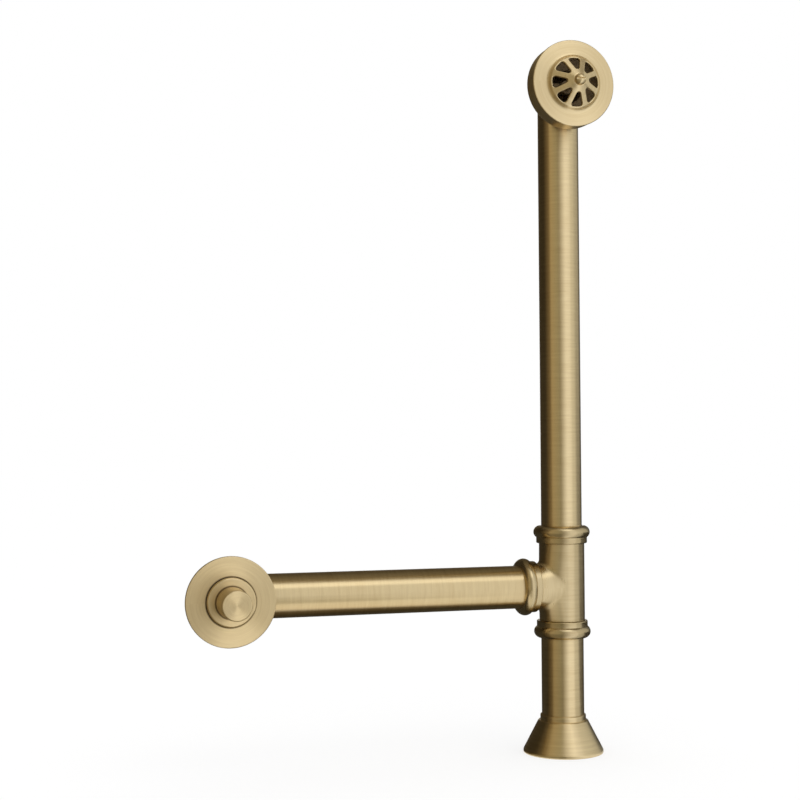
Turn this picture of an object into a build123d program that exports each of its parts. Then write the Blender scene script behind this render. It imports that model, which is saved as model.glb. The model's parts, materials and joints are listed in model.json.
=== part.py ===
from build123d import *
from math import cos, hypot, radians, sin, sqrt
import os

# Bath waste and overflow, in millimetres.
# The origin is on the riser's axis at the floor. +Z is up, the waste tube runs to -X,
# and the overflow plate and the drain face -Y, the inside of the bath.

# Layout
overflow_height = 621.0
waste_height = 155.0
drain_reach = 320.0
overflow_reach = 40.0
drain_face_reach = 40.0

# Tubes
riser_od = 38.1
waste_od = 39.6
tail_od = 39.5
tube_wall = 1.2

# Fits
socket_clearance = 0.2
tube_stop_gap = 0.3
thread_clearance = 0.15
slip_clearance = 0.25
washer_clearance = 0.15
running_clearance = 0.3
bell_clearance = 0.3
web_bite = 1.0

# Tee casting
tee_up_reach = 39.9
tee_down_reach = 31.8
tee_branch_reach = 27.6
tee_bore = 34.0
tee_socket_depth = 13.0
tee_socket_wall = 1.0
tee_shoulder = 0.2
tee_branch_step = 0.6
tee_crotch_radius = 5.0
tee_mouth_chamfer = 0.8

# Slip nuts, slip rings and washers
nut_gap = 0.3
nut_ring_wall = 2.6
nut_ring_length = 5.4
nut_ring_round = 0.9
nut_bead_overhang = 2.65
nut_bead_radius = 5.9
nut_lip = 2.4
slip_ring_thickness = 0.8
washer_thickness = 3.0
washer_nose = 0.7

# Overflow plate
plate_od = 80.0
plate_thickness = 3.0
plate_edge_round = 1.0
dome_base_od = 52.0
dome_height = 14.2
dome_wall = 2.4
dome_shoulder_height = 3.4
dome_shoulder_inset = 2.4
dome_shoulder_round = 3.0
dome_foot_round = 2.8
hub_od = 11.6
hub_round = 2.0
hub_thickness = 4.0
slot_count = 8
slot_turn = 3.0
slot_outer_radius = 22.3
slot_corner_radius = 2.2
slot_edge_round = 0.8
spoke_width = 5.2

# Overflow screw
screw_od = 6.3
screw_length = 44.5
screw_head_od = 10.6
screw_head_height = 6.4
screw_head_band = 1.4
screw_slot_width = 1.5
screw_slot_depth = 2.4
screw_hole_clearance = 0.2
screw_tip_chamfer = 0.8

# Overflow head: drum, neck and domed elbow in one casting
drum_od = 79.2
drum_depth = 15.2
drum_wall = 3.2
drum_rim_land = 8.0
drum_lip_depth = 4.0
drum_back_round = 3.0
drum_front_round = 0.5
gasket_thickness = 3.0
gasket_proud = 0.8
gasket_inset = 2.0
gasket_width = 5.0
neck_bore = 31.0
neck_wall = 2.4
neck_root_round = 2.5
elbow_bore_step = 0.5
elbow_drop = 20.0
elbow_spigot_length = 14.0
bridge_width = 7.0
bridge_thickness = 5.0
boss_od = 12.0
boss_length = 10.0
boss_setback = 17.0

# Drain: flange, shank, crossbar and gasket
flange_od = 78.6
flange_thickness = 3.0
flange_edge_round = 0.6
seat_od = 43.6
throat_od = 40.0
seat_depth = 2.5
shank_wall = 3.5
shank_length = 22.0
crossbar_arms = 4
crossbar_width = 4.0
crossbar_thickness = 4.0
crossbar_depth = 14.0
post_boss_od = 16.0
post_boss_rise = 4.0
post_boss_drop = 2.0
drain_gasket_thickness = 3.2
drain_gasket_inset = 1.2

# Shoe behind the drain
shoe_flange_inset = 4.0
shoe_flange_thickness = 3.0
shoe_wall = 3.0
shoe_skirt = 18.0
shoe_taper = 6.0
shoe_taper_round = 8.0
shoe_socket_reach = 37.0
shoe_socket_depth = 12.0
shoe_socket_wall = 2.0
shoe_dome_wall = 2.4
shoe_dome_step = 0.8
shoe_root_round = 2.0

# Stopper
stopper_lift = 9.5
disc_od = 42.6
disc_rise = 4.2
disc_rim_height = 0.6
disc_web = 2.8
disc_edge_round = 1.4
disc_spigot_od = 34.0
disc_flange_od = 36.6
disc_flange_thickness = 1.0
disc_sleeve_od = 17.0
disc_sleeve_depth = 8.0
seal_thickness = 2.5
seal_clearance = 0.35
knob_od = 27.2
knob_top_od = 25.9
knob_height = 26.7
knob_gap = 0.5
knob_edge_round = 1.1
knob_base_round = 0.8
knob_hole_depth = 14.0
spindle_od = 6.0
post_od = 12.0
post_foot_od = 10.0
post_top_drop = 1.6
clip_od = 10.0
clip_thickness = 0.8
clip_gap = 0.3
clip_groove = 0.8
clip_play = 0.05
clip_mouth = 3.6
end_clip_margin = 0.6
spindle_tail = 1.5

# Floor bell
bell_od = 74.6
bell_wall = 1.4
bell_lip_height = 2.6
bell_lip_round = 1.0
bell_cone_top_od = 46.1
bell_cone_height = 30.0
bell_shoulder_round = 1.4
bell_collar_wall = 1.2
bell_collar_height = 5.2
bell_collar_round = 0.6

# Radii shared by pieces that fit each other
widest_tube_od = max(riser_od, waste_od, tail_od)
thread_radius = widest_tube_od / 2 + socket_clearance + tee_socket_wall
tee_body_radius = thread_radius + tee_shoulder
tee_branch_radius = tee_body_radius - tee_branch_step
nut_bore_radius = thread_radius + thread_clearance
nut_ring_radius = nut_bore_radius + nut_ring_wall
nut_crest_radius = nut_ring_radius + nut_bead_overhang
bead_center_radius = nut_crest_radius - nut_bead_radius

# Stations along a slip joint, counted outwards from the tee's shoulder
bead_overlap = sqrt(nut_bead_radius**2 - (nut_ring_radius - bead_center_radius) ** 2)
nut_ring_end = nut_gap + nut_ring_length
bead_center_station = nut_ring_end + bead_overlap
nut_end = bead_center_station + nut_bead_radius
nut_seat = nut_end - nut_lip
washer_end = nut_seat - slip_ring_thickness
thread_length = washer_end - washer_thickness
socket_stop = thread_length - tee_socket_depth

# Planes whose local x is a radius and whose local y runs outwards along an axis
tee_center = (0, 0, waste_height)
up_arm = Plane(origin=tee_center, x_dir=(1, 0, 0), z_dir=(0, -1, 0))
down_arm = Plane(origin=tee_center, x_dir=(1, 0, 0), z_dir=(0, 1, 0))
branch_arm = Plane(origin=tee_center, x_dir=(0, 0, 1), z_dir=(0, -1, 0))
floor_profile = Plane.XZ
overflow_center = (0, -overflow_reach, overflow_height)
overflow_profile = Plane(origin=overflow_center, x_dir=(1, 0, 0), z_dir=(0, 0, -1))
drain_center = (-drain_reach, -drain_face_reach, waste_height)
drain_profile = Plane(origin=drain_center, x_dir=(1, 0, 0), z_dir=(0, 0, -1))

# Planes of the two faces, looking out of the bath's wall along -Y
overflow_face = Plane(origin=overflow_center, x_dir=(1, 0, 0), z_dir=(0, -1, 0))
drain_face = Plane(origin=drain_center, x_dir=(1, 0, 0), z_dir=(0, -1, 0))

slip_joints = {
    "riser": (up_arm, riser_od / 2, tee_up_reach),
    "waste": (branch_arm, waste_od / 2, tee_branch_reach),
    "tail": (down_arm, tail_od / 2, tee_down_reach),
}

os.makedirs("parts", exist_ok=True)


def axis_of(profile):
    """Return the axis that a profile plane is revolved about."""
    return Axis(profile.origin, profile.y_dir)


def save(piece, name):
    """Label a finished piece and write it as its own file."""
    piece.part.label = name
    export_step(piece.part, f"parts/{name}.step")


# Tee: body, branch, three threaded ends and their tube sockets
with BuildPart() as tee:
    with BuildSketch(Plane.XY.offset(waste_height - tee_down_reach)):
        Circle(tee_body_radius)
    extrude(amount=tee_down_reach + tee_up_reach)
    with BuildSketch(Plane(origin=tee_center, x_dir=(0, 1, 0), z_dir=(-1, 0, 0))):
        Circle(tee_branch_radius)
    extrude(amount=tee_branch_reach)
    crotch = tee.edges().filter_by(GeomType.BSPLINE).sort_by(SortBy.LENGTH)[-1]
    fillet(crotch, radius=tee_crotch_radius)
    for arm, tube_radius, reach in slip_joints.values():
        with BuildSketch(arm):
            with Locations((thread_radius / 2, reach + thread_length / 2)):
                Rectangle(thread_radius, thread_length)
        revolve(axis=axis_of(arm))
    for arm, tube_radius, reach in slip_joints.values():
        socket_radius = tube_radius + socket_clearance
        mouth = reach + thread_length
        with BuildSketch(arm):
            with BuildLine():
                Polyline(
                    (0, 0),
                    (tee_bore / 2, 0),
                    (tee_bore / 2, reach + socket_stop),
                    (socket_radius, reach + socket_stop),
                    (socket_radius, mouth - tee_mouth_chamfer),
                    (socket_radius + tee_mouth_chamfer, mouth),
                    (0, mouth),
                    close=True,
                )
            make_face()
        revolve(axis=axis_of(arm), mode=Mode.SUBTRACT)
save(tee, "tee")

# Slip joints: nut, friction ring and washer on each of the three ends
for joint, (arm, tube_radius, reach) in slip_joints.items():
    with BuildPart() as nut:
        with BuildSketch(arm) as nut_profile:
            with BuildLine():
                lip_radius = tube_radius + slip_clearance
                outer = Polyline(
                    (lip_radius, reach + nut_end),
                    (lip_radius, reach + nut_seat),
                    (nut_bore_radius, reach + nut_seat),
                    (nut_bore_radius, reach + nut_gap),
                    (nut_ring_radius, reach + nut_gap),
                    (nut_ring_radius, reach + nut_ring_end),
                )
                bead = ThreePointArc(
                    outer @ 1,
                    (nut_crest_radius, reach + bead_center_station),
                    (bead_center_radius, reach + nut_end),
                )
                Line(bead @ 1, outer @ 0)
            make_face()
            ring_corner = nut_profile.vertices().sort_by_distance((nut_ring_radius, reach + nut_gap))[0]
            fillet(ring_corner, radius=nut_ring_round)
        revolve(axis=axis_of(arm))
    save(nut, f"{joint}_nut")

    with BuildPart() as slip_ring:
        with BuildSketch(arm):
            with Locations((0, reach + washer_end)):
                Rectangle(
                    nut_bore_radius - washer_clearance,
                    slip_ring_thickness,
                    align=(Align.MIN, Align.MIN),
                )
                Rectangle(
                    tube_radius + washer_clearance,
                    slip_ring_thickness,
                    align=(Align.MIN, Align.MIN),
                    mode=Mode.SUBTRACT,
                )
        revolve(axis=axis_of(arm))
    save(slip_ring, f"{joint}_slip_ring")

    with BuildPart() as washer:
        inner_radius = tube_radius + washer_clearance
        washer_start = reach + thread_length
        with BuildSketch(arm):
            with BuildLine():
                Polyline(
                    (inner_radius, washer_start - washer_nose),
                    (inner_radius + washer_nose, washer_start),
                    (nut_bore_radius - washer_clearance, washer_start),
                    (nut_bore_radius - washer_clearance, reach + washer_end),
                    (inner_radius, reach + washer_end),
                    close=True,
                )
            make_face()
        revolve(axis=axis_of(arm))
    save(washer, f"{joint}_washer")

# Tubes, each standing on the stop at the bottom of its socket
riser_foot = waste_height + tee_up_reach + socket_stop + tube_stop_gap
riser_top = overflow_height - elbow_drop
with BuildPart() as riser_tube:
    with BuildSketch(Plane.XY.offset(riser_foot)):
        Circle(riser_od / 2)
        Circle(riser_od / 2 - tube_wall, mode=Mode.SUBTRACT)
    extrude(amount=riser_top - riser_foot)
save(riser_tube, "riser_tube")

waste_start = tee_branch_reach + socket_stop + tube_stop_gap
waste_end = drain_reach - shoe_socket_reach + shoe_socket_depth - tube_stop_gap
with BuildPart() as waste_tube:
    with BuildSketch(Plane(origin=(-waste_start, 0, waste_height), x_dir=(0, 1, 0), z_dir=(-1, 0, 0))):
        Circle(waste_od / 2)
        Circle(waste_od / 2 - tube_wall, mode=Mode.SUBTRACT)
    extrude(amount=waste_end - waste_start)
save(waste_tube, "waste_tube")

tail_top = waste_height - tee_down_reach - socket_stop - tube_stop_gap
with BuildPart() as tail_tube:
    with BuildSketch(Plane.XY):
        Circle(tail_od / 2)
        Circle(tail_od / 2 - tube_wall, mode=Mode.SUBTRACT)
    extrude(amount=tail_top)
save(tail_tube, "tail_tube")

# Floor bell: spun shell with a lip, a cone and a collar round the tail tube
bell_bore_radius = tail_od / 2 + bell_clearance
bell_collar_radius = bell_bore_radius + bell_collar_wall
bell_top = bell_cone_height + bell_collar_height
with BuildPart() as floor_bell:
    with BuildSketch(floor_profile):
        with BuildLine():
            FilletPolyline(
                (bell_bore_radius, bell_top),
                (bell_collar_radius, bell_top),
                (bell_collar_radius, bell_cone_height),
                (bell_cone_top_od / 2, bell_cone_height),
                (bell_od / 2, bell_lip_height),
                (bell_od / 2, 0),
                (bell_od / 2 - bell_wall, 0),
                (bell_od / 2 - bell_wall, bell_lip_height),
                (bell_cone_top_od / 2 - bell_wall, bell_cone_height - bell_wall),
                (bell_bore_radius, bell_cone_height - bell_wall),
                close=True,
                radius=[
                    0,
                    bell_collar_round,
                    0,
                    bell_shoulder_round,
                    bell_lip_round,
                    bell_lip_round / 2,
                    0,
                    0,
                    0,
                    0,
                ],
            )
        make_face()
    revolve(axis=axis_of(floor_profile))
save(floor_bell, "floor_bell")

# Overflow head: drum, neck, domed elbow whose spigot enters the riser, and a bridge for the screw
drum_front = -(plate_thickness + gasket_proud)
drum_back = drum_front - drum_depth
drum_radius = drum_od / 2
neck_radius = neck_bore / 2 + neck_wall
barrel_radius = riser_od / 2
spigot_radius = barrel_radius - tube_wall - socket_clearance
spigot_foot = riser_top - elbow_spigot_length
elbow_bore_radius = neck_bore / 2 + elbow_bore_step
gasket_outer_radius = drum_radius - gasket_inset
gasket_inner_radius = gasket_outer_radius - gasket_width
groove_depth = gasket_thickness - gasket_proud
boss_face = overflow_face.offset(-boss_setback)
with BuildPart() as overflow_elbow:
    with BuildSketch(floor_profile):
        with BuildLine():
            barrel_side = Polyline(
                (0, overflow_height),
                (0, spigot_foot),
                (spigot_radius, spigot_foot),
                (spigot_radius, riser_top),
                (barrel_radius, riser_top),
                (barrel_radius, overflow_height),
            )
            barrel_dome = RadiusArc(barrel_side @ 1, (0, overflow_height + barrel_radius), -barrel_radius)
            Line(barrel_dome @ 1, barrel_side @ 0)
        make_face()
    revolve(axis=axis_of(floor_profile))
    with BuildSketch(overflow_face.offset(-overflow_reach)):
        Circle(neck_radius)
    extrude(amount=overflow_reach + drum_back)
    neck_roots = overflow_elbow.edges().filter_by(GeomType.BSPLINE)
    fillet(neck_roots, radius=neck_root_round)
    with BuildSketch(overflow_profile):
        with BuildLine():
            FilletPolyline(
                (0, drum_back),
                (drum_radius, drum_back),
                (drum_radius, drum_front),
                (0, drum_front),
                close=True,
                radius=[0, drum_back_round, drum_front_round, 0],
            )
        make_face()
    revolve(axis=axis_of(overflow_profile))
    with BuildSketch(overflow_profile):
        with BuildLine():
            Polyline(
                (0, drum_front),
                (drum_radius - drum_rim_land, drum_front),
                (drum_radius - drum_rim_land, drum_front - drum_lip_depth),
                (neck_bore / 2, drum_back + drum_wall),
                (neck_bore / 2, -overflow_reach),
                (0, -overflow_reach),
                close=True,
            )
        make_face()
        with Locations((gasket_inner_radius, drum_front - groove_depth)):
            Rectangle(gasket_width, groove_depth, align=(Align.MIN, Align.MIN))
    revolve(axis=axis_of(overflow_profile), mode=Mode.SUBTRACT)
    with BuildSketch(floor_profile):
        with BuildLine():
            bore_side = Polyline(
                (0, overflow_height),
                (0, spigot_foot),
                (elbow_bore_radius, spigot_foot),
                (elbow_bore_radius, overflow_height),
            )
            bore_dome = RadiusArc(bore_side @ 1, (0, overflow_height + elbow_bore_radius), -elbow_bore_radius)
            Line(bore_dome @ 1, bore_side @ 0)
        make_face()
    revolve(axis=axis_of(floor_profile), mode=Mode.SUBTRACT)
    with BuildSketch(boss_face):
        Circle(boss_od / 2)
    extrude(amount=-boss_length)
    with BuildSketch(boss_face.offset(-(boss_length - bridge_thickness) / 2)):
        Rectangle(neck_bore + 2 * web_bite, bridge_width)
    extrude(amount=-bridge_thickness)
    with BuildSketch(boss_face):
        Circle(screw_od / 2 + thread_clearance)
    extrude(amount=-boss_length, mode=Mode.SUBTRACT)
save(overflow_elbow, "overflow_elbow")

# Rubber ring that sits in the drum's groove and bears on the plate
with BuildPart() as overflow_gasket:
    with BuildSketch(overflow_face.offset(-plate_thickness)):
        Circle(gasket_outer_radius - washer_clearance)
        Circle(gasket_inner_radius + washer_clearance, mode=Mode.SUBTRACT)
    extrude(amount=-gasket_thickness)
save(overflow_gasket, "overflow_gasket")

# Overflow plate: flat ring, raised cone on a rounded shoulder, hub and slots
base_radius = dome_base_od / 2
hub_radius = hub_od / 2
plate_hole_radius = screw_od / 2 + screw_hole_clearance
shoulder_radius = base_radius - dome_shoulder_inset
cone_slope = (dome_height - dome_shoulder_height) / (shoulder_radius - hub_radius)
cone_drop = dome_wall * sqrt(1 + cone_slope**2)
hub_inner_radius = hub_radius + (hub_thickness - cone_drop) / cone_slope
inner_shoulder_height = dome_shoulder_height + cone_slope * dome_wall - cone_drop
half_pitch = radians(180 / slot_count)
slot_apex = spoke_width / 2 / sin(half_pitch)
slot_run = sqrt(slot_outer_radius**2 - (slot_apex * sin(half_pitch)) ** 2) - slot_apex * cos(half_pitch)
slot_corner = (slot_apex + slot_run * cos(half_pitch), slot_run * sin(half_pitch))
with BuildSketch() as slot:
    with BuildLine():
        slot_side = Line((slot_apex, 0), slot_corner)
        slot_rim = ThreePointArc(slot_side @ 1, (slot_outer_radius, 0), (slot_corner[0], -slot_corner[1]))
        Line(slot_rim @ 1, slot_side @ 0)
    make_face()
    fillet(slot.vertices(), radius=slot_corner_radius)
spoke_angle = radians(slot_turn) + half_pitch
spoke_profile = Plane(
    origin=overflow_center,
    x_dir=(cos(spoke_angle), 0, sin(spoke_angle)),
    z_dir=(sin(spoke_angle), 0, -cos(spoke_angle)),
)


def on_cone(edge):
    """Tell whether an edge of the grille lies on the cone's outer face."""
    middle = overflow_face.to_local_coords(edge @ 0.5)
    cone_height = dome_height - cone_slope * (hypot(middle.X, middle.Y) - hub_radius)
    return abs(middle.Z - cone_height) < slot_edge_round / 2


with BuildPart() as overflow_faceplate:
    with BuildSketch(spoke_profile):
        with BuildLine():
            FilletPolyline(
                (plate_hole_radius, dome_height),
                (hub_radius, dome_height),
                (shoulder_radius, dome_shoulder_height),
                (base_radius, 0),
                (plate_od / 2, 0),
                (plate_od / 2, -plate_thickness),
                (base_radius - dome_wall, -plate_thickness),
                (shoulder_radius - dome_wall, inner_shoulder_height),
                (hub_inner_radius, dome_height - hub_thickness),
                (plate_hole_radius, dome_height - hub_thickness),
                close=True,
                radius=[
                    0,
                    hub_round,
                    dome_shoulder_round,
                    dome_foot_round,
                    plate_edge_round,
                    0,
                    0,
                    dome_foot_round,
                    0,
                    0,
                ],
            )
        make_face()
    revolve(axis=axis_of(spoke_profile))
    with BuildSketch(overflow_face.offset(dome_height)):
        with PolarLocations(0, slot_count, start_angle=90 + slot_turn):
            add(slot.sketch)
    extrude(amount=-(dome_height + plate_thickness), mode=Mode.SUBTRACT)
    front_edges = overflow_faceplate.edges(Select.LAST).filter_by(on_cone)
    fillet(front_edges, radius=slot_edge_round)
save(overflow_faceplate, "overflow_faceplate")

# Round-head screw through the hub into the head's boss
with BuildPart() as overflow_screw:
    with BuildSketch(overflow_profile):
        with BuildLine():
            shaft = Polyline(
                (0, dome_height - screw_length),
                (screw_od / 2 - screw_tip_chamfer, dome_height - screw_length),
                (screw_od / 2, dome_height - screw_length + screw_tip_chamfer),
                (screw_od / 2, dome_height),
                (screw_head_od / 2, dome_height),
                (screw_head_od / 2, dome_height + screw_head_band),
            )
            crown = EllipticalCenterArc(
                (0, dome_height + screw_head_band),
                x_radius=screw_head_od / 2,
                y_radius=screw_head_height - screw_head_band,
                start_angle=0,
                arc_size=90,
            )
            Line(crown @ 1, shaft @ 0)
        make_face()
    revolve(axis=axis_of(overflow_profile))
    with BuildSketch(overflow_face.offset(dome_height + screw_head_height)):
        Rectangle(screw_head_od, screw_slot_width)
    extrude(amount=-screw_slot_depth, mode=Mode.SUBTRACT)
save(overflow_screw, "overflow_screw")

# Drain body: flange, bevelled seat, shank and a crossbar with the post's boss
throat_radius = throat_od / 2
shank_radius = throat_radius + shank_wall
shank_end = -(flange_thickness + shank_length)
boss_top = -crossbar_depth + post_boss_rise
boss_bottom = -(crossbar_depth + crossbar_thickness + post_boss_drop)
with BuildPart() as drain_body:
    with BuildSketch(drain_profile):
        with BuildLine():
            FilletPolyline(
                (seat_od / 2, 0),
                (flange_od / 2, 0),
                (flange_od / 2, -flange_thickness),
                (shank_radius, -flange_thickness),
                (shank_radius, shank_end),
                (throat_radius, shank_end),
                (throat_radius, -seat_depth),
                close=True,
                radius=[0, flange_edge_round, 0, 0, 0, 0, 0],
            )
        make_face()
    revolve(axis=axis_of(drain_profile))
    with BuildSketch(drain_face.offset(-crossbar_depth)):
        with PolarLocations(0, crossbar_arms, start_angle=45):
            Rectangle(throat_radius + web_bite, crossbar_width, align=(Align.MIN, Align.CENTER))
    extrude(amount=-crossbar_thickness)
    with BuildSketch(drain_face.offset(boss_top)):
        Circle(post_boss_od / 2)
    extrude(amount=boss_bottom - boss_top)
    with BuildSketch(drain_face.offset(boss_top)):
        Circle(post_foot_od / 2 + thread_clearance)
    extrude(amount=boss_bottom - boss_top, mode=Mode.SUBTRACT)
save(drain_body, "drain_body")

# Rubber ring between the drain flange and the shoe
shoe_front = -(flange_thickness + drain_gasket_thickness)
with BuildPart() as drain_gasket:
    with BuildSketch(drain_face.offset(-flange_thickness)):
        Circle(flange_od / 2 - drain_gasket_inset)
        Circle(shank_radius + washer_clearance, mode=Mode.SUBTRACT)
    extrude(amount=-drain_gasket_thickness)
save(drain_gasket, "drain_gasket")

# Shoe: flanged cup with a domed back and a socket for the waste tube
shoe_bore_radius = shank_radius + thread_clearance
shoe_cup_radius = shoe_bore_radius + shoe_wall
shoe_flange_radius = flange_od / 2 - shoe_flange_inset
shoe_flange_back = shoe_front - shoe_flange_thickness
shoe_skirt_end = shoe_flange_back - shoe_skirt
shoe_taper_end = shoe_skirt_end - shoe_taper
shoe_socket_radius = waste_od / 2 + socket_clearance
shoe_barrel_radius = shoe_socket_radius + shoe_socket_wall
shoe_dome_radius = shoe_barrel_radius + shoe_dome_step
shoe_chamber_radius = shoe_dome_radius - shoe_dome_wall
shoe_water_radius = waste_od / 2 - tube_wall
shoe_axis = Plane(origin=(-drain_reach, 0, waste_height), x_dir=(0, 1, 0), z_dir=(1, 0, 0))
shoe_stop = shoe_socket_reach - shoe_socket_depth
with BuildPart() as drain_shoe:
    with BuildSketch(drain_profile) as cup_profile:
        with BuildLine():
            cup_side = Polyline(
                (0, shoe_front),
                (shoe_flange_radius, shoe_front),
                (shoe_flange_radius, shoe_flange_back),
                (shoe_cup_radius, shoe_flange_back),
                (shoe_cup_radius, shoe_skirt_end),
                (shoe_dome_radius, shoe_taper_end),
                (shoe_dome_radius, -drain_face_reach),
            )
            cup_dome = RadiusArc(
                cup_side @ 1,
                (0, -drain_face_reach - shoe_dome_radius),
                shoe_dome_radius,
            )
            Line(cup_dome @ 1, cup_side @ 0)
        make_face()
        skirt_corner = cup_profile.vertices().sort_by_distance((shoe_cup_radius, shoe_skirt_end))[0]
        taper_corner = cup_profile.vertices().sort_by_distance((shoe_dome_radius, shoe_taper_end))[0]
        fillet([skirt_corner, taper_corner], radius=shoe_taper_round)
    revolve(axis=axis_of(drain_profile))
    with BuildSketch(shoe_axis):
        Circle(shoe_barrel_radius)
    extrude(amount=shoe_socket_reach)
    socket_roots = drain_shoe.edges().filter_by(GeomType.BSPLINE)
    fillet(socket_roots, radius=shoe_root_round)
    with BuildSketch(drain_profile):
        with BuildLine():
            chamber_side = Polyline(
                (0, shoe_front),
                (shoe_bore_radius, shoe_front),
                (shoe_bore_radius, shank_end - running_clearance),
                (shoe_chamber_radius, shank_end - running_clearance),
                (shoe_chamber_radius, -drain_face_reach),
            )
            chamber_dome = RadiusArc(
                chamber_side @ 1,
                (0, -drain_face_reach - shoe_chamber_radius),
                shoe_chamber_radius,
            )
            Line(chamber_dome @ 1, chamber_side @ 0)
        make_face()
    revolve(axis=axis_of(drain_profile), mode=Mode.SUBTRACT)
    with BuildSketch(shoe_axis):
        Circle(shoe_water_radius)
    extrude(amount=shoe_stop, mode=Mode.SUBTRACT)
    with BuildSketch(shoe_axis.offset(shoe_stop)):
        Circle(shoe_socket_radius)
    extrude(amount=shoe_socket_depth, mode=Mode.SUBTRACT)
save(drain_shoe, "drain_shoe")

# Post: guide tube screwed into the crossbar's boss
spindle_radius = spindle_od / 2
spindle_hole_radius = spindle_radius + running_clearance
with BuildPart() as stopper_post:
    with BuildSketch(drain_profile):
        with BuildLine():
            Polyline(
                (spindle_hole_radius, -post_top_drop),
                (post_od / 2, -post_top_drop),
                (post_od / 2, boss_top),
                (post_foot_od / 2, boss_top),
                (post_foot_od / 2, boss_bottom),
                (spindle_hole_radius, boss_bottom),
                close=True,
            )
        make_face()
    revolve(axis=axis_of(drain_profile))
save(stopper_post, "stopper_post")

# Stopper disc: stepped cap with a groove for the seal and a sleeve over the post
disc_radius = disc_od / 2
disc_web_bottom = disc_rise - disc_web
seal_bottom = disc_rim_height - seal_thickness
with BuildPart() as stopper_disc:
    with BuildSketch(drain_profile):
        with BuildLine():
            FilletPolyline(
                (spindle_hole_radius, disc_rise),
                (disc_radius, disc_rise),
                (disc_radius, disc_rim_height),
                (disc_spigot_od / 2, disc_rim_height),
                (disc_spigot_od / 2, seal_bottom),
                (disc_flange_od / 2, seal_bottom),
                (disc_flange_od / 2, seal_bottom - disc_flange_thickness),
                (disc_sleeve_od / 2, seal_bottom - disc_flange_thickness),
                (disc_sleeve_od / 2, -disc_sleeve_depth),
                (post_od / 2 + running_clearance, -disc_sleeve_depth),
                (post_od / 2 + running_clearance, disc_web_bottom),
                (spindle_hole_radius, disc_web_bottom),
                close=True,
                radius=[0, disc_edge_round, 0, 0, 0, 0, 0, 0, 0, 0, 0, 0],
            )
        make_face()
    revolve(axis=axis_of(drain_profile))
save(stopper_disc, "stopper_disc")

# Seal: rubber ring under the disc's rim, bevelled like its seat
seat_slope = (seat_od / 2 - throat_radius) / seat_depth
seal_rim_radius = seat_od / 2 - seal_clearance
with BuildPart() as stopper_seal:
    with BuildSketch(drain_profile):
        with BuildLine():
            Polyline(
                (disc_spigot_od / 2 + washer_clearance, disc_rim_height),
                (seal_rim_radius, disc_rim_height),
                (seal_rim_radius, 0),
                (seal_rim_radius + seat_slope * seal_bottom, seal_bottom),
                (disc_spigot_od / 2 + washer_clearance, seal_bottom),
                close=True,
            )
        make_face()
    revolve(axis=axis_of(drain_profile))
save(stopper_seal, "stopper_seal")

# Knob: plain round grip with a blind hole for the spindle
knob_bottom = disc_rise + knob_gap
knob_top = knob_bottom + knob_height
with BuildPart() as stopper_knob:
    with BuildSketch(drain_profile):
        with BuildLine():
            FilletPolyline(
                (0, knob_top),
                (knob_top_od / 2, knob_top),
                (knob_od / 2, knob_bottom),
                (spindle_radius + thread_clearance, knob_bottom),
                (spindle_radius + thread_clearance, knob_bottom + knob_hole_depth),
                (0, knob_bottom + knob_hole_depth),
                close=True,
                radius=[0, knob_edge_round, knob_base_round, 0, 0, 0],
            )
        make_face()
    revolve(axis=axis_of(drain_profile))
save(stopper_knob, "stopper_knob")

# Spindle: rod from the knob through disc and post, with a groove for each clip
disc_clip_top = disc_web_bottom - clip_gap
end_clip_top = boss_bottom - stopper_lift - end_clip_margin
spindle_top = knob_bottom + knob_hole_depth - tube_stop_gap
spindle_bottom = end_clip_top - clip_thickness - spindle_tail
groove_radius = spindle_radius - clip_groove
clips = {"disc_clip": disc_clip_top, "end_clip": end_clip_top}
with BuildPart() as stopper_spindle:
    with BuildSketch(drain_face.offset(spindle_top)):
        Circle(spindle_radius)
    extrude(amount=spindle_bottom - spindle_top)
    for clip_top in clips.values():
        with BuildSketch(drain_face.offset(clip_top)):
            Circle(spindle_radius)
            Circle(groove_radius, mode=Mode.SUBTRACT)
        extrude(amount=-clip_thickness, mode=Mode.SUBTRACT)
save(stopper_spindle, "stopper_spindle")

# Retaining clips: open rings pushed into the spindle's grooves
for clip_name, clip_top in clips.items():
    with BuildPart() as clip:
        with BuildSketch(drain_face.offset(clip_top - clip_play)):
            Circle(clip_od / 2)
            Circle(groove_radius + clip_play, mode=Mode.SUBTRACT)
            Rectangle(clip_od, clip_mouth, align=(Align.MIN, Align.CENTER), mode=Mode.SUBTRACT)
        extrude(amount=-(clip_thickness - 2 * clip_play))
    save(clip, clip_name)
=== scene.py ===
import json
import math

import bmesh
import bpy
from mathutils import Matrix, Vector

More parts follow.
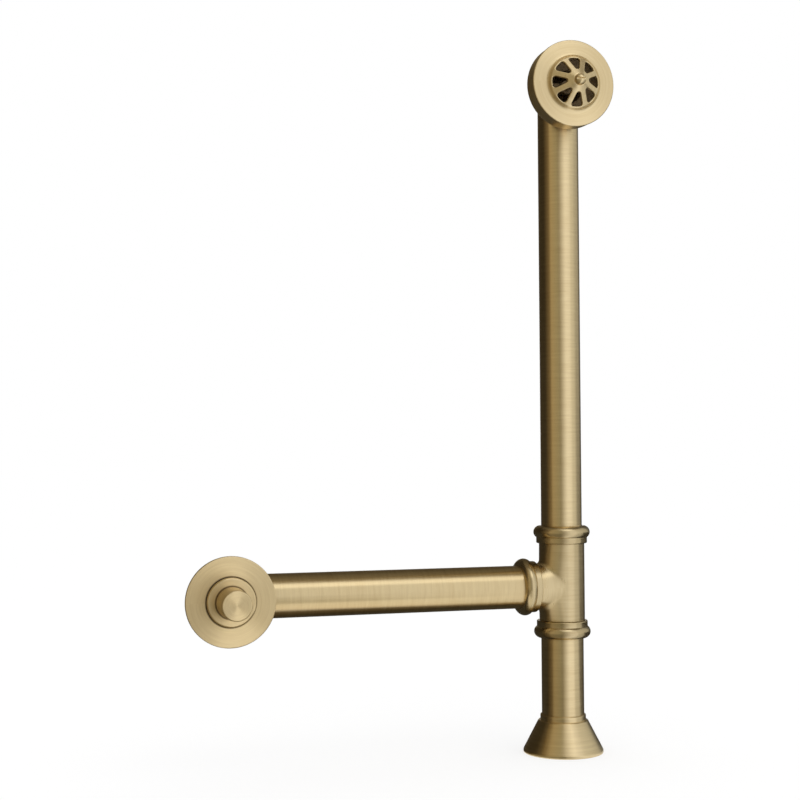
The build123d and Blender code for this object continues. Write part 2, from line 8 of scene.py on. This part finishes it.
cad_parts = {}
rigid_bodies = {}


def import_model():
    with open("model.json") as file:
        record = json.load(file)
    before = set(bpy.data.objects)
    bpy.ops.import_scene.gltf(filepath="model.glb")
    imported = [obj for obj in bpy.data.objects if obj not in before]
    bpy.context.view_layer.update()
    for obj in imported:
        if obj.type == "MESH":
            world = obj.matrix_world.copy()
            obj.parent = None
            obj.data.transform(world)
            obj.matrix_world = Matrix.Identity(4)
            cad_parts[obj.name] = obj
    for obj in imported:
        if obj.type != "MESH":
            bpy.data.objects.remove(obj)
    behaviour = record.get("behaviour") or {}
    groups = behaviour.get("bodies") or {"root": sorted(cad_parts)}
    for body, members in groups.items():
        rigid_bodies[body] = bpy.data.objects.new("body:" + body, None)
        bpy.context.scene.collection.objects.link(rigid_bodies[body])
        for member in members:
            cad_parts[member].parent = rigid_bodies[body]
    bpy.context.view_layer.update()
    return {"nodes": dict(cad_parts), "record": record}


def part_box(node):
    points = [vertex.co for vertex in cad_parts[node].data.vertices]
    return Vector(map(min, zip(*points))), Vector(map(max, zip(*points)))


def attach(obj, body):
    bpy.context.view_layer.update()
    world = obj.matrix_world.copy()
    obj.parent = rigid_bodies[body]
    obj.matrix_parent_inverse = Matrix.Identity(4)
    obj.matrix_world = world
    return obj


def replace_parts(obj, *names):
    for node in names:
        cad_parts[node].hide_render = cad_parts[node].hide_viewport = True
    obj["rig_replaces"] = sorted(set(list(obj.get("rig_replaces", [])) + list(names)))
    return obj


bl_info = {
    "name": "Bath waste and overflow",
    "version": (1, 0, 0),
    "blender": (4, 5, 0),
    "location": "View3D > Sidebar > Bath waste",
    "description": "Brushed brass, rubber and steel finishes for a bath waste and overflow, and its studio",
    "category": "Object",
}

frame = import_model()
nodes = frame["nodes"]

UP = Vector((0, 0, 1))
BATHWARDS = Vector((0, -1, 0))
DRAINWARDS = Vector((-1, 0, 0))

# Finish: a quarter turn stretches the reflections across the brush lines.
ACROSS_LINES = 0.25
STREAK_PITCH = 7
CAST_DIM = 0.85
NUT_DIM = 0.78
NUT_GRAIN = 0.3
NUT_DULL = -0.07
BRANCH_DULL = -0.04
# Seam: a dark brown ring where two pieces meet, painted shade that stands in for the shadow in the gap
# between them, in a tarnish colour.
SEAM_SHADE = (0.09, 0.05, 0.02, 1)
SEAM_SHADE_DEPTH = 0.85
SEAM_SHADE_CORE = 1.3

# Head: the depth behind its rim, and the share of its radius, that the brush never reached; faces there take
# dark raw brass, unpolished metal with painted shade for the hollow.
HEAD_DEPTH = 0.0165
HEAD_HOLLOW = 0.8

# How much a face has to look inwards, out of the hollow or back to count as one that does.
LOOKS_IN = 0.2
LOOKS_OUT = 0.5
LOOKS_BACK = 0.15

# Tee: the branch is this much slimmer than the trunk, and they blend into each other over this reach.
BRANCH_STEP = 0.0006
CROTCH_BLEND = 0.0070
CROTCH_TAPER = 0.6
CROTCH_PAST_TRUNK = 0.0056
CROTCH_PAST_AXIS = 0.002
CROTCH_EDGE = 0.0015
CROTCH_SPLITS = 6
CROTCH_PASSES = 5
SKIN_DEPTH = 0.0003
SKIN_FIT = 0.0001
SKIN_FACING = 0.7
SAME_PLACE = 1e-6
SHARP_EDGE = math.radians(30)

# Floor: how much of it glows where it is seen, and how white.
FLOOR_GLOW = 0.6
FLOOR_WHITE = 1.067

# Screens: rows of (share of the distance, height) run out along the floor and then up.
SCREEN_DISTANCE = 10.0
SCREEN_STEPS = 16
SCREEN_ROWS = ((0.003, 0.001), (0.09, 0.001), (0.13, 0.001), (1.0, 0.001), (1.0, 26.0))
NEAR_SHARE = 0.1
STRIP_REACH = 9.0


def body_of(node):
    """Name of the CAD body that carries a node."""
    for body, members in frame["record"]["behaviour"]["bodies"].items():
        if node in members:
            return body
    raise RuntimeError(f"no body carries {node}")


def middle(node):
    """Centre of a CAD node's box."""
    low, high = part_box(node)
    return (Vector(low) + Vector(high)) / 2


class BrassSettings(bpy.types.PropertyGroup):
    """Colour and brushing of the brass."""

    colour: bpy.props.FloatVectorProperty(
        name="Colour", description="Brushed brass as it catches the light",
        default=(0.84, 0.69, 0.42), size=3, subtype="COLOR", min=0, max=1)
    shade: bpy.props.FloatVectorProperty(
        name="Shade", description="Darker brass in the tracks of the brush",
        default=(0.70, 0.55, 0.31), size=3, subtype="COLOR", min=0, max=1)
    roughness: bpy.props.FloatProperty(
        name="Roughness", description="Blur of the reflections",
        default=0.32, min=0, max=1, subtype="FACTOR")
    grain: bpy.props.FloatProperty(
        name="Grain", description="How much the brushing stretches the reflections across its lines",
        default=0.85, min=0, max=1, subtype="FACTOR")
    line_pitch: bpy.props.FloatProperty(
        name="Line pitch", description="Spacing of the finest brush lines",
        default=0.0003, min=0.00005, max=0.01, unit="LENGTH", precision=5)
    line_depth: bpy.props.FloatProperty(
        name="Line depth", description="Depth of the brush lines",
        default=0.00001, min=0, max=0.001, unit="LENGTH", precision=6)
    # Seam width: how wide the ring of painted shade at a seam is.
    seam_width: bpy.props.FloatProperty(
        name="Seam width", description="Width of the tarnish that settles where two pieces meet",
        default=0.0009, min=0.0001, max=0.01, unit="LENGTH", precision=5)
    blend_width: bpy.props.FloatProperty(
        name="Blend width",
        description="How softly the brushing of the tee's trunk goes over to its branch",
        default=0.005, min=0.0001, max=0.05, unit="LENGTH", precision=4)


class StudioSettings(bpy.types.PropertyGroup):
    """Camera and floor."""

    camera_place: bpy.props.FloatVectorProperty(
        name="Camera place", description="Where the camera stands",
        default=(-0.5297, -1.2974, 0.2942), size=3, subtype="TRANSLATION", unit="LENGTH")
    camera_turn: bpy.props.FloatProperty(
        name="Camera turn", description="How far the camera is turned to the right of straight ahead",
        default=math.radians(16.016), subtype="ANGLE")
    camera_tilt: bpy.props.FloatProperty(
        name="Camera tilt", description="How far the camera looks up",
        default=math.radians(1.49), subtype="ANGLE")
    camera_roll: bpy.props.FloatProperty(
        name="Camera roll", description="How far the camera leans to the right",
        default=math.radians(0.36), subtype="ANGLE")
    focal_length: bpy.props.FloatProperty(
        name="Focal length", description="Lens, on a square sensor 36 mm wide",
        default=66.47, min=10, max=300, subtype="DISTANCE_CAMERA")
    floor_size: bpy.props.FloatProperty(
        name="Floor size", description="Length of the floor's sides",
        default=24.0, min=1, unit="LENGTH")


class Wire:
    """One socket of a node sheet, so that shader maths reads as plain sums."""

    def __init__(self, sheet, socket):
        self.sheet = sheet
        self.socket = socket

    def sum(self, operation, *parts):
        return self.sheet.node("ShaderNodeMath", {"operation": operation}, dict(enumerate(parts)))

    def __add__(self, other):
        return self.sum("ADD", self, other)

    def __radd__(self, other):
        return self.sum("ADD", other, self)

    def __sub__(self, other):
        return self.sum("SUBTRACT", self, other)

    def __rsub__(self, other):
        return self.sum("SUBTRACT", other, self)

    def __mul__(self, other):
        return self.sum("MULTIPLY", self, other)

    def __rmul__(self, other):
        return self.sum("MULTIPLY", other, self)

    def __truediv__(self, other):
        return self.sum("DIVIDE", self, other)

    def __pow__(self, other):
        return self.sum("POWER", self, other)


class Sheet:
    """A node tree that grows by one method."""

    def __init__(self, tree):
        self.tree = tree
        self.tree.nodes.clear()

    def node(self, kind, settings=None, sockets=None, out=0):
        """Add a node: its settings first, then values or wires for its sockets; return one output."""
        added = self.tree.nodes.new(kind)
        for name, value in (settings or {}).items():
            setattr(added, name, value)
        for name, value in (sockets or {}).items():
            if isinstance(value, Wire):
                self.tree.links.new(value.socket, added.inputs[name])
            else:
                added.inputs[name].default_value = value
        if len(added.outputs) == 0:
            return None
        return Wire(self, added.outputs[out])

    def spot(self):
        """The place on the piece, in its own axes."""
        return self.node("ShaderNodeTexCoord", out="Object")

    def noise(self, place, scale, detail):
        """Soft noise over a place."""
        return self.node("ShaderNodeTexNoise", None, {"Vector": place, "Scale": scale, "Detail": detail})

    def tint(self, share, first, second):
        """A colour that goes from the first to the second with a share."""
        return self.node("ShaderNodeMix", {"data_type": "RGBA"}, {0: share, 6: first, 7: second}, out=2)

    def bump(self, height, depth):
        """A normal that follows a height."""
        return self.node("ShaderNodeBump", None, {"Height": height, "Strength": 1.0, "Distance": depth})

    def surface(self, shader):
        """Show a shader on the surface."""
        self.node("ShaderNodeOutputMaterial", None, {"Surface": shader})


def vary(base, noise, spread):
    """A value that wanders round its base with a noise."""
    return base + (noise - 0.5) * spread


def new_material(name):
    """Start an empty node material."""
    material = bpy.data.materials.new(name)
    material.use_nodes = True
    return material, Sheet(material.node_tree)


def brushed_finish(sheet, axis="Z", dim=1.0, grain=None, dull=0.0, seam=None):
    """Brass brushed round an axis of the piece: fine lines, broader streaks and a faint uneven tone.

    A seam is a circle round the axis, given by its radius, where a dark ring of painted shade marks the gap
    between two pieces.
    """
    brass = bpy.context.scene.bath_waste_brass
    spot = sheet.spot()
    x, y, z = (sheet.node("ShaderNodeSeparateXYZ", None, {0: spot}, out=side) for side in range(3))
    if axis == "X":
        x, y, z = y, z, x
    radius = (x * x + y * y) ** 0.5
    turn = x.sum("ARCTAN2", y, x)

    def lines(pitch, wander):
        """Noise drawn out into circles round the axis."""
        track = {0: radius / pitch, 1: z / pitch, 2: turn * wander}
        return sheet.noise(sheet.node("ShaderNodeCombineXYZ", None, track), 1.0, 3.0)

    fine = lines(brass.line_pitch, 1.5)
    streak = lines(brass.line_pitch * STREAK_PITCH, 0.8)
    tone = sheet.noise(spot, 22.0, 4.0)
    light = sheet.node("ShaderNodeClamp", None, {0: vary(vary(vary(0.5, streak, 1.5), tone, 0.9), fine, 0.9)})
    shade, bright = ((*(Vector(colour) * dim), 1) for colour in (brass.shade, brass.colour))
    colour = sheet.tint(light, shade, bright)
    # Painted shade: the colour darkens to a tarnish brown in a thin ring round the seam, for the shadow in
    # the gap there.
    if seam is not None:
        off_seam = x.sum("ABSOLUTE", radius - seam)
        seam_shade = sheet.node("ShaderNodeClamp", None, {0: SEAM_SHADE_CORE - off_seam / brass.seam_width})
        colour = sheet.tint(seam_shade * SEAM_SHADE_DEPTH, colour, SEAM_SHADE)
    return sheet.node("ShaderNodeBsdfPrincipled", None, {
        "Base Color": colour,
        "Metallic": 1.0,
        "Roughness": vary(vary(brass.roughness + dull, streak, 0.10), tone, 0.12),
        "Anisotropic": brass.grain if grain is None else grain,
        "Anisotropic Rotation": ACROSS_LINES,
        "Normal": sheet.bump(fine, brass.line_depth),
    })


def brushed_brass(name, **finish):
    """A material of one brushed finish."""
    material, sheet = new_material(name)
    sheet.surface(brushed_finish(sheet, **finish))
    return material


def brushed_tee(name):
    """Brass brushed round the trunk, going over softly to brushing round the branch."""
    brass = bpy.context.scene.bath_waste_brass
    material, sheet = new_material(name)
    trunk = brushed_finish(sheet, dim=CAST_DIM)
    branch = brushed_finish(sheet, axis="X", dim=CAST_DIM, grain=0.0, dull=BRANCH_DULL)
    spot = sheet.spot()
    x, z = (sheet.node("ShaderNodeSeparateXYZ", None, {0: spot}, out=side) for side in (0, 2))
    share = sheet.node("ShaderNodeMapRange", {"interpolation_type": "SMOOTHSTEP"}, {
        "Value": 0.0 - x - x.sum("ABSOLUTE", z),
        "From Min": -brass.blend_width,
        "From Max": brass.blend_width,
    })
    sheet.surface(sheet.node("ShaderNodeMixShader", None, {0: share, 1: trunk, 2: branch}))
    return material


def shaded_raw_brass(name):
    """Brass that the brush never reached: dull, brown and stained, and painted dark as the shade inside the
    hollow head and behind the plate.
    """
    material, sheet = new_material(name)
    stain = sheet.noise(sheet.spot(), 140.0, 5.0)
    sheet.surface(sheet.node("ShaderNodeBsdfPrincipled", None, {
        "Base Color": sheet.tint(stain, (0.15, 0.10, 0.047, 1), (0.40, 0.285, 0.15, 1)),
        "Metallic": 0.4,
        "Roughness": vary(0.52, stain, 0.25),
        "Normal": sheet.bump(stain, 0.0001),
    }))
    return material


def dress(piece, *materials):
    """Give a piece its materials, keeping which of its faces take the second."""
    slots = piece.data.materials
    for index, material in enumerate(materials):
        if index < len(slots):
            slots[index] = material
        else:
            slots.append(material)


def on_lathe(node, axis, centre=None, second=None):
    """Stand for a CAD node with the same mesh, its own Z axis along the axis it was turned on.

    Faces for which second(centre, normal) is true, both in the piece's own axes, take its second material.
    """
    place = Matrix.Translation(centre or middle(node)) @ UP.rotation_difference(axis).to_matrix().to_4x4()
    mesh = nodes[node].data.copy()
    mesh.transform(place.inverted())
    for face in mesh.polygons:
        face.material_index = int(second is not None and second(face.center, face.normal))
    mesh.use_auto_texspace = False
    mesh.texspace_location = (0, 0, 0)
    mesh.texspace_size = (1, 1, 1)
    piece = bpy.data.objects.new(f"{node}_turned", mesh)
    bpy.context.scene.collection.objects.link(piece)
    piece.matrix_world = place
    bpy.context.view_layer.update()
    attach(piece, body_of(node))
    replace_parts(piece, node)
    return piece


class BATHWASTE_OT_tubes(bpy.types.Operator):
    """Brush the riser, waste and tail tubes round their length"""

    bl_idname = "bathwaste.tubes"
    bl_label = "Brush tubes"

    def execute(self, context):
        brass = brushed_brass("brushed_tube")
        dress(nodes["riser_tube"], brass)
        dress(nodes["tail_tube"], brass)
        dress(on_lathe("waste_tube", DRAINWARDS), brass)
        return {"FINISHED"}


class BATHWASTE_OT_joints(bpy.types.Operator):
    """Brush the tee, its slip nuts and their friction rings"""

    bl_idname = "bathwaste.joints"
    bl_label = "Brush tee and slip nuts"

    def execute(self, context):
        brass = brushed_brass("brushed_nut", dim=NUT_DIM, grain=NUT_GRAIN, dull=NUT_DULL)
        for name in ("riser", "tail"):
            dress(nodes[f"{name}_nut"], brass)
            dress(nodes[f"{name}_slip_ring"], brass)
        dress(on_lathe("waste_nut", DRAINWARDS), brass)
        dress(on_lathe("waste_slip_ring", DRAINWARDS), brass)
        trunk, branch = middle("riser_nut"), middle("waste_nut")
        tee = on_lathe("tee", UP, Vector((trunk.x, trunk.y, branch.z)))
        self.soften_crotch(tee.data)
        dress(tee, brushed_tee("brushed_tee"))
        return {"FINISHED"}

    def soften_crotch(self, mesh):
        """Draw the tee's trunk and branch into each other in one soft curve, as a casting has it."""
        low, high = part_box("tee")
        trunk = (high[1] - low[1]) / 2
        branch = trunk - BRANCH_STEP
        shape = bmesh.new()
        shape.from_mesh(mesh)
        bmesh.ops.remove_doubles(shape, verts=shape.verts, dist=SAME_PLACE)

        def skin(place):
            """How far a place lies off the blended skin, and which way is out."""
            round_trunk = Vector((place.x, place.y, 0))
            round_branch = Vector((0, place.y, place.z))
            off_trunk = round_trunk.length - trunk
            off_branch = round_branch.length - branch if place.x < 0 else math.inf
            round_trunk.normalize()
            round_branch.normalize()
            reach = CROTCH_BLEND * max(1 - round_trunk.dot(round_branch), 0) ** CROTCH_TAPER + SAME_PLACE
            share = max(reach - abs(off_trunk - off_branch), 0) / reach
            far = share / 2
            near = 1 - far
            if off_branch < off_trunk:
                near, far = far, near
            off = min(off_trunk, off_branch) - share * share * reach / 4
            return off, round_trunk * near + round_branch * far

        def by_crotch(vert):
            """Whether a point lies on the outside of the tee, near where trunk and branch meet."""
            place = vert.co
            off_trunk = math.hypot(place.x, place.y) - trunk
            off_branch = math.hypot(place.y, place.z) - branch
            outside = min(off_trunk, off_branch) >= -SKIN_DEPTH
            beside = -trunk - CROTCH_PAST_TRUNK < place.x < CROTCH_PAST_AXIS
            return outside and beside and abs(place.z) < branch + CROTCH_BLEND

        for split in range(CROTCH_SPLITS):
            long = [
                edge for edge in shape.edges
                if edge.calc_length() > CROTCH_EDGE and all(map(by_crotch, edge.verts))
            ]
            bmesh.ops.subdivide_edges(shape, edges=long, cuts=1)
            bmesh.ops.triangulate(shape, faces=[face for face in shape.faces if len(face.verts) > 3])
        for vert in filter(by_crotch, list(shape.verts)):
            for step in range(CROTCH_PASSES):
                off, out = skin(vert.co)
                vert.co -= out * (off / out.length_squared)
        mesh.attributes.remove(mesh.attributes["custom_normal"])
        shape.to_mesh(mesh)
        shape.free()
        mesh.shade_smooth()
        mesh.set_sharp_from_angle(angle=SHARP_EDGE)
        normals = [Vector(corner.vector) for corner in mesh.corner_normals]
        for face in mesh.polygons:
            for corner, point in zip(face.loop_indices, face.vertices):
                off, out = skin(mesh.vertices[point].co)
                if abs(off) < SKIN_FIT and face.normal.dot(out) > SKIN_FACING:
                    normals[corner] = out.normalized()
        mesh.normals_split_custom_set(normals)


class BATHWASTE_OT_overflow(bpy.types.Operator):
    """Brush the overflow plate, its head and its screw round the hub"""

    bl_idname = "bathwaste.overflow"
    bl_label = "Brush overflow"

    def execute(self, context):
        brass, shaded_raw = brushed_brass("brushed_plate"), shaded_raw_brass("shaded_raw_head")
        hub = middle("overflow_faceplate")
        low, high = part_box("overflow_elbow")
        rim, hollow = hub.y - low[1], HEAD_HOLLOW * (high[0] - low[0]) / 2

        def inside_head(centre, normal):
            """Whether a face of the head looks into its hollow, or stands in it."""
            across = math.hypot(centre.x, centre.y)
            inwards = normal.x * centre.x + normal.y * centre.y < -LOOKS_IN * across
            return inwards or normal.z > LOOKS_OUT or (rim - centre.z < HEAD_DEPTH and across < hollow)

        # Faces inside the head and behind the plate take the dark raw brass: unpolished metal, and painted
        # shade for the hollow seen through the slots.
        for node, second in (
            ("overflow_faceplate", self.behind_plate),
            ("overflow_elbow", inside_head),
            ("overflow_screw", None),
        ):
            dress(on_lathe(node, BATHWARDS, hub, second), brass, shaded_raw)
        return {"FINISHED"}

    def behind_plate(self, centre, normal):
        """Whether a face of the plate looks back into the head."""
        return normal.z < -LOOKS_BACK


class BATHWASTE_OT_drain(bpy.types.Operator):
    """Brush the drain, its shoe and the stopper round the spindle"""

    bl_idname = "bathwaste.drain"
    bl_label = "Brush drain and stopper"

    def execute(self, context):
        brass = brushed_brass("brushed_drain")
        centre = middle("drain_body")
        for node in ("drain_shoe", "stopper_post", "stopper_knob", "stopper_spindle"):
            dress(on_lathe(node, BATHWARDS, centre), brass)
        # A ring of painted shade round where the disc sits in the drain and the knob on the disc, for the
        # shadow in those gaps.
        for node, inner in (("drain_body", "stopper_disc"), ("stopper_disc", "stopper_knob")):
            low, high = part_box(inner)
            seam = (high[0] - low[0]) / 2 + bpy.context.scene.bath_waste_brass.seam_width / 2
            dress(on_lathe(node, BATHWARDS, centre), brushed_brass(f"brushed_{node}", seam=seam))
        return {"FINISHED"}


class BATHWASTE_OT_bell(bpy.types.Operator):
    """Brush the floor bell round its axis"""

    bl_idname = "bathwaste.bell"
    bl_label = "Brush floor bell"

    def execute(self, context):
        dress(nodes["floor_bell"], brushed_brass("brushed_bell"))
        return {"FINISHED"}


class BATHWASTE_OT_rubber(bpy.types.Operator):
    """Give the washers, gaskets and seal moulded black rubber"""

    bl_idname = "bathwaste.rubber"
    bl_label = "Mould rubber"

    def execute(self, context):
        material, sheet = new_material("moulded_rubber")
        bloom = sheet.noise(sheet.spot(), 260.0, 5.0)
        pores = sheet.noise(sheet.spot(), 3200.0, 2.0)
        sheet.surface(sheet.node("ShaderNodeBsdfPrincipled", None, {
            "Base Color": sheet.tint(bloom, (0.012, 0.012, 0.012, 1), (0.045, 0.043, 0.040, 1)),
            "Roughness": vary(0.62, bloom, 0.2),
            "Normal": sheet.bump(pores, 0.00003),
        }))
        for node, piece in nodes.items():
            if node.endswith(("_washer", "_gasket", "_seal")):
                dress(piece, material)
        return {"FINISHED"}


class BATHWASTE_OT_clips(bpy.types.Operator):
    """Give the spindle's clips plain spring steel"""

    bl_idname = "bathwaste.clips"
    bl_label = "Finish clips"

    def execute(self, context):
        material, sheet = new_material("spring_steel")
        scuff = sheet.noise(sheet.spot(), 900.0, 4.0)
        sheet.surface(sheet.node("ShaderNodeBsdfPrincipled", None, {
            "Base Color": sheet.tint(scuff, (0.33, 0.33, 0.34, 1), (0.62, 0.61, 0.60, 1)),
            "Metallic": 1.0,
            "Roughness": vary(0.28, scuff, 0.2),
        }))
        for node in ("disc_clip", "end_clip"):
            dress(nodes[node], material)
        return {"FINISHED"}


def seen_directly(sheet):
    """1 for rays from the camera, a reflection or a clear surface, 0 for light that bounces."""
    sight = sheet.node("ShaderNodeLightPath", out="Is Camera Ray")
    for kind in ("Is Glossy Ray", "Is Transmission Ray"):
        sight = sight.sum("MAXIMUM", sight, sheet.node("ShaderNodeLightPath", out=kind))
    return sight


# Lamps: name, sides, watts, place, target and the only nodes that it lights, or none for all.
DRAIN_PIECES = ("drain_body", "stopper_disc", "stopper_knob")
BRANCH_PIECES = ("waste_tube", "waste_nut", "tee")
LAMPS = (
    ("top_softbox", (1.4, 0.9), 2.6, (0.1, -1.3, 2.0), (-0.1, 0, 0.3), ()),
    ("drain_softbox", (0.12, 0.12), 0.10, (-0.24, -0.36, 0.012), middle("drain_body"), DRAIN_PIECES),
    ("wide_card", (0.32, 0.77), 0.28, (-0.18, -0.415, 0.003), (-0.18, -0.415, 1), BRANCH_PIECES),
    ("near_card", (0.32, 0.15), 0.042, (-0.18, -0.125, 0.004), (-0.18, -0.125, 1), BRANCH_PIECES),
)

# Screens in a ring: name, first and last angle from the camera's side, the light near the part, both tints.
SCREENS = (
    ("left_drape", -172, -98, 0.6, (0.045, 0.038, 0.027), (0.04, 0.031, 0.018)),
    ("brown_screen", -98, -59, 0.6, (0.04, 0.031, 0.018), (0.24, 0.18, 0.10)),
    ("amber_screen", -59, -12, 0.6, (0.50, 0.405, 0.25), (0.39, 0.365, 0.26)),
    ("lens_screen", -12, -3, 0.6, (0.33, 0.30, 0.215), (0.33, 0.30, 0.23)),
    ("rising_screen", -3, 30, 1.0, (0.33, 0.30, 0.23), (1.0, 1.0, 1.0)),
    ("right_screen", 60, 130, 0.8, (0.82, 0.82, 0.79), (0.50, 0.50, 0.47)),
    ("right_drape", 130, 172, 1.0, (0.22, 0.22, 0.20), (0.03, 0.03, 0.03)),
)

# Screens bent along their length: name and rows of (distance behind the part, height, tint).
STRIPS = (
    ("top_drape", (
        (-2.7, 10, (0.36, 0.30, 0.20)),
        (0, 10, (0.20, 0.165, 0.11)),
        (9, 10, (0.09, 0.075, 0.05)),
        (9, 1.2, (0.09, 0.075, 0.05)),
    )),
    ("rear_cloth", (
        (0.03, 0.002, (0.05, 0.045, 0.035)),
        (9, 0.002, (0.05, 0.045, 0.035)),
    )),
)


class BATHWASTE_OT_stage(bpy.types.Operator):
    """Set the floor, the white surround, the lamps, the drapes and the camera"""

    bl_idname = "bathwaste.stage"
    bl_label = "Set stage"

    def execute(self, context):
        studio = context.scene.bath_waste_studio
        context.scene.view_settings.view_transform = "Standard"
        self.light_world(context)
        self.lay_floor(studio)
        self.hang_lamps()
        self.hang_screens(studio)
        self.stand_camera(context, studio)
        return {"FINISHED"}

    def light_world(self, context):
        """A white surround that lights the set softly."""
        world = bpy.data.worlds.new("white_surround")
        world.use_nodes = True
        context.scene.world = world
        sheet = Sheet(world.node_tree)
        white = sheet.node("ShaderNodeBackground", None, {"Color": (1, 1, 1, 1), "Strength": 1.0})
        sheet.node("ShaderNodeOutputWorld", None, {"Surface": white})

    def lay_floor(self, studio):
        """A pale floor that keeps a faint shadow."""
        half = studio.floor_size / 2
        mesh = bpy.data.meshes.new("floor")
        corners = [(-half, -half, 0), (half, -half, 0), (half, half, 0), (-half, half, 0)]
        mesh.from_pydata(corners, [], [(0, 1, 2, 3)])
        floor = bpy.data.objects.new("floor", mesh)
        bpy.context.scene.collection.objects.link(floor)
        material, sheet = new_material("pale_floor")
        paint = sheet.node("ShaderNodeBsdfDiffuse", None, {"Color": (0.9, 0.9, 0.9, 1)})
        white = sheet.node("ShaderNodeEmission", None, {"Color": (1, 1, 1, 1), "Strength": FLOOR_WHITE})
        seen = seen_directly(sheet) * FLOOR_GLOW
        sheet.surface(sheet.node("ShaderNodeMixShader", None, {0: seen, 1: paint, 2: white}))
        dress(floor, material)

    def hang_lamps(self):
        """One broad soft lamp above and in front, and low ones for the drain and the waste tube alone."""
        for lamp in LAMPS:
            self.hang_lamp(*lamp)

    def hang_lamp(self, name, size, energy, place, target, lit):
        """One square-cornered soft lamp that looks at a target, for all pieces or only for some."""
        lamp = bpy.data.lights.new(name, "AREA")
        lamp.shape = "RECTANGLE"
        lamp.size, lamp.size_y = size
        lamp.energy = energy
        piece = bpy.data.objects.new(name, lamp)
        bpy.context.scene.collection.objects.link(piece)
        piece.location = place
        piece.rotation_euler = (Vector(target) - Vector(place)).to_track_quat("-Z", "Y").to_euler()
        piece.visible_camera = False
        if lit:
            pieces = bpy.data.collections.new(f"{name}_lit")
            for shown in bpy.context.scene.objects:
                if set(shown.get("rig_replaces", ())) & set(lit):
                    pieces.objects.link(shown)
            piece.light_linking.receiver_collection = pieces

    def hang_screens(self, studio):
        """Drapes and screens that only reflections see: they shape the bands on the tubes."""
        homewards = Vector((-math.sin(studio.camera_turn), -math.cos(studio.camera_turn), 0))
        rightwards = Vector((math.cos(studio.camera_turn), -math.sin(studio.camera_turn), 0))
        for name, start, stop, near, first, last in SCREENS:
            points, tints = [], []
            for step in range(SCREEN_STEPS + 1):
                share = step / SCREEN_STEPS
                angle = math.radians(start + (stop - start) * share)
                foot = (homewards * math.cos(angle) + rightwards * math.sin(angle)) * SCREEN_DISTANCE
                tint = Vector(first).lerp(Vector(last), share)
                for reach, height in SCREEN_ROWS:
                    points.append(foot * reach + UP * height)
                    tints.append(tint * (near if reach < NEAR_SHARE else 1.0))
            rows = len(SCREEN_ROWS)
            faces = []
            for step in range(SCREEN_STEPS):
                for row in range(rows - 1):
                    corner = rows * step + row
                    faces.append((corner, corner + rows, corner + rows + 1, corner + 1))
            self.hang(name, points, faces, tints)
        for name, rows in STRIPS:
            points, tints = [], []
            for behind, height, tint in rows:
                for side in (-STRIP_REACH, STRIP_REACH):
                    points.append(-homewards * behind + UP * height + rightwards * side)
                    tints.append(tint)
            faces = [(row, row + 1, row + 3, row + 2) for row in range(0, len(points) - 2, 2)]
            self.hang(name, points, faces, tints)

    def hang(self, name, points, faces, tints):
        """One screen that is seen only in reflections, tinted from point to point."""
        mesh = bpy.data.meshes.new(name)
        mesh.from_pydata(points, [], faces)
        paint = mesh.color_attributes.new("tint", "FLOAT_COLOR", "POINT")
        for spot, tint in zip(paint.data, tints):
            spot.color = (*tint, 1)
        screen = bpy.data.objects.new(name, mesh)
        bpy.context.scene.collection.objects.link(screen)
        screen.visible_camera = False
        screen.visible_diffuse = False
        screen.visible_shadow = False
        screen.visible_transmission = False
        material, sheet = new_material(name)
        tint = sheet.node("ShaderNodeVertexColor", {"layer_name": "tint"})
        glow = sheet.node("ShaderNodeEmission", None, {"Color": tint, "Strength": 1.0})
        sheet.surface(glow)
        material.cycles.emission_sampling = "NONE"
        dress(screen, material)

    def stand_camera(self, context, studio):
        """The camera at the picture's own place and angle."""
        lens = bpy.data.cameras.new("camera")
        lens.sensor_width = 36
        lens.lens = studio.focal_length
        camera = bpy.data.objects.new("camera", lens)
        context.scene.collection.objects.link(camera)
        camera.matrix_world = (
            Matrix.Translation(studio.camera_place)
            @ Matrix.Rotation(-studio.camera_turn, 4, "Z")
            @ Matrix.Rotation(math.radians(90) + studio.camera_tilt, 4, "X")
            @ Matrix.Rotation(-studio.camera_roll, 4, "Z")
        )
        context.scene.camera = camera


class BATHWASTE_PT_panel(bpy.types.Panel):
    """The steps that finish the bath waste"""

    bl_idname = "BATHWASTE_PT_panel"
    bl_label = "Bath waste"
    bl_space_type = "VIEW_3D"
    bl_region_type = "UI"
    bl_category = "Bath waste"

    def draw(self, context):
        for settings in (context.scene.bath_waste_brass, context.scene.bath_waste_studio):
            for name in settings.__annotations__:
                self.layout.prop(settings, name)
        for step in STEPS:
            self.layout.operator(step.bl_idname)


STEPS = (
    BATHWASTE_OT_tubes,
    BATHWASTE_OT_joints,
    BATHWASTE_OT_overflow,
    BATHWASTE_OT_drain,
    BATHWASTE_OT_bell,
    BATHWASTE_OT_rubber,
    BATHWASTE_OT_clips,
    BATHWASTE_OT_stage,
)
CLASSES = (BrassSettings, StudioSettings, *STEPS, BATHWASTE_PT_panel)


def register():
    for item in CLASSES:
        bpy.utils.register_class(item)
    bpy.types.Scene.bath_waste_brass = bpy.props.PointerProperty(type=BrassSettings)
    bpy.types.Scene.bath_waste_studio = bpy.props.PointerProperty(type=StudioSettings)


def unregister():
    del bpy.types.Scene.bath_waste_studio
    del bpy.types.Scene.bath_waste_brass
    for item in reversed(CLASSES):
        bpy.utils.unregister_class(item)


def main():
    register()
    for step in STEPS:
        group, name = step.bl_idname.split(".")
        getattr(getattr(bpy.ops, group), name)()


if __name__ == "__main__":
    main()
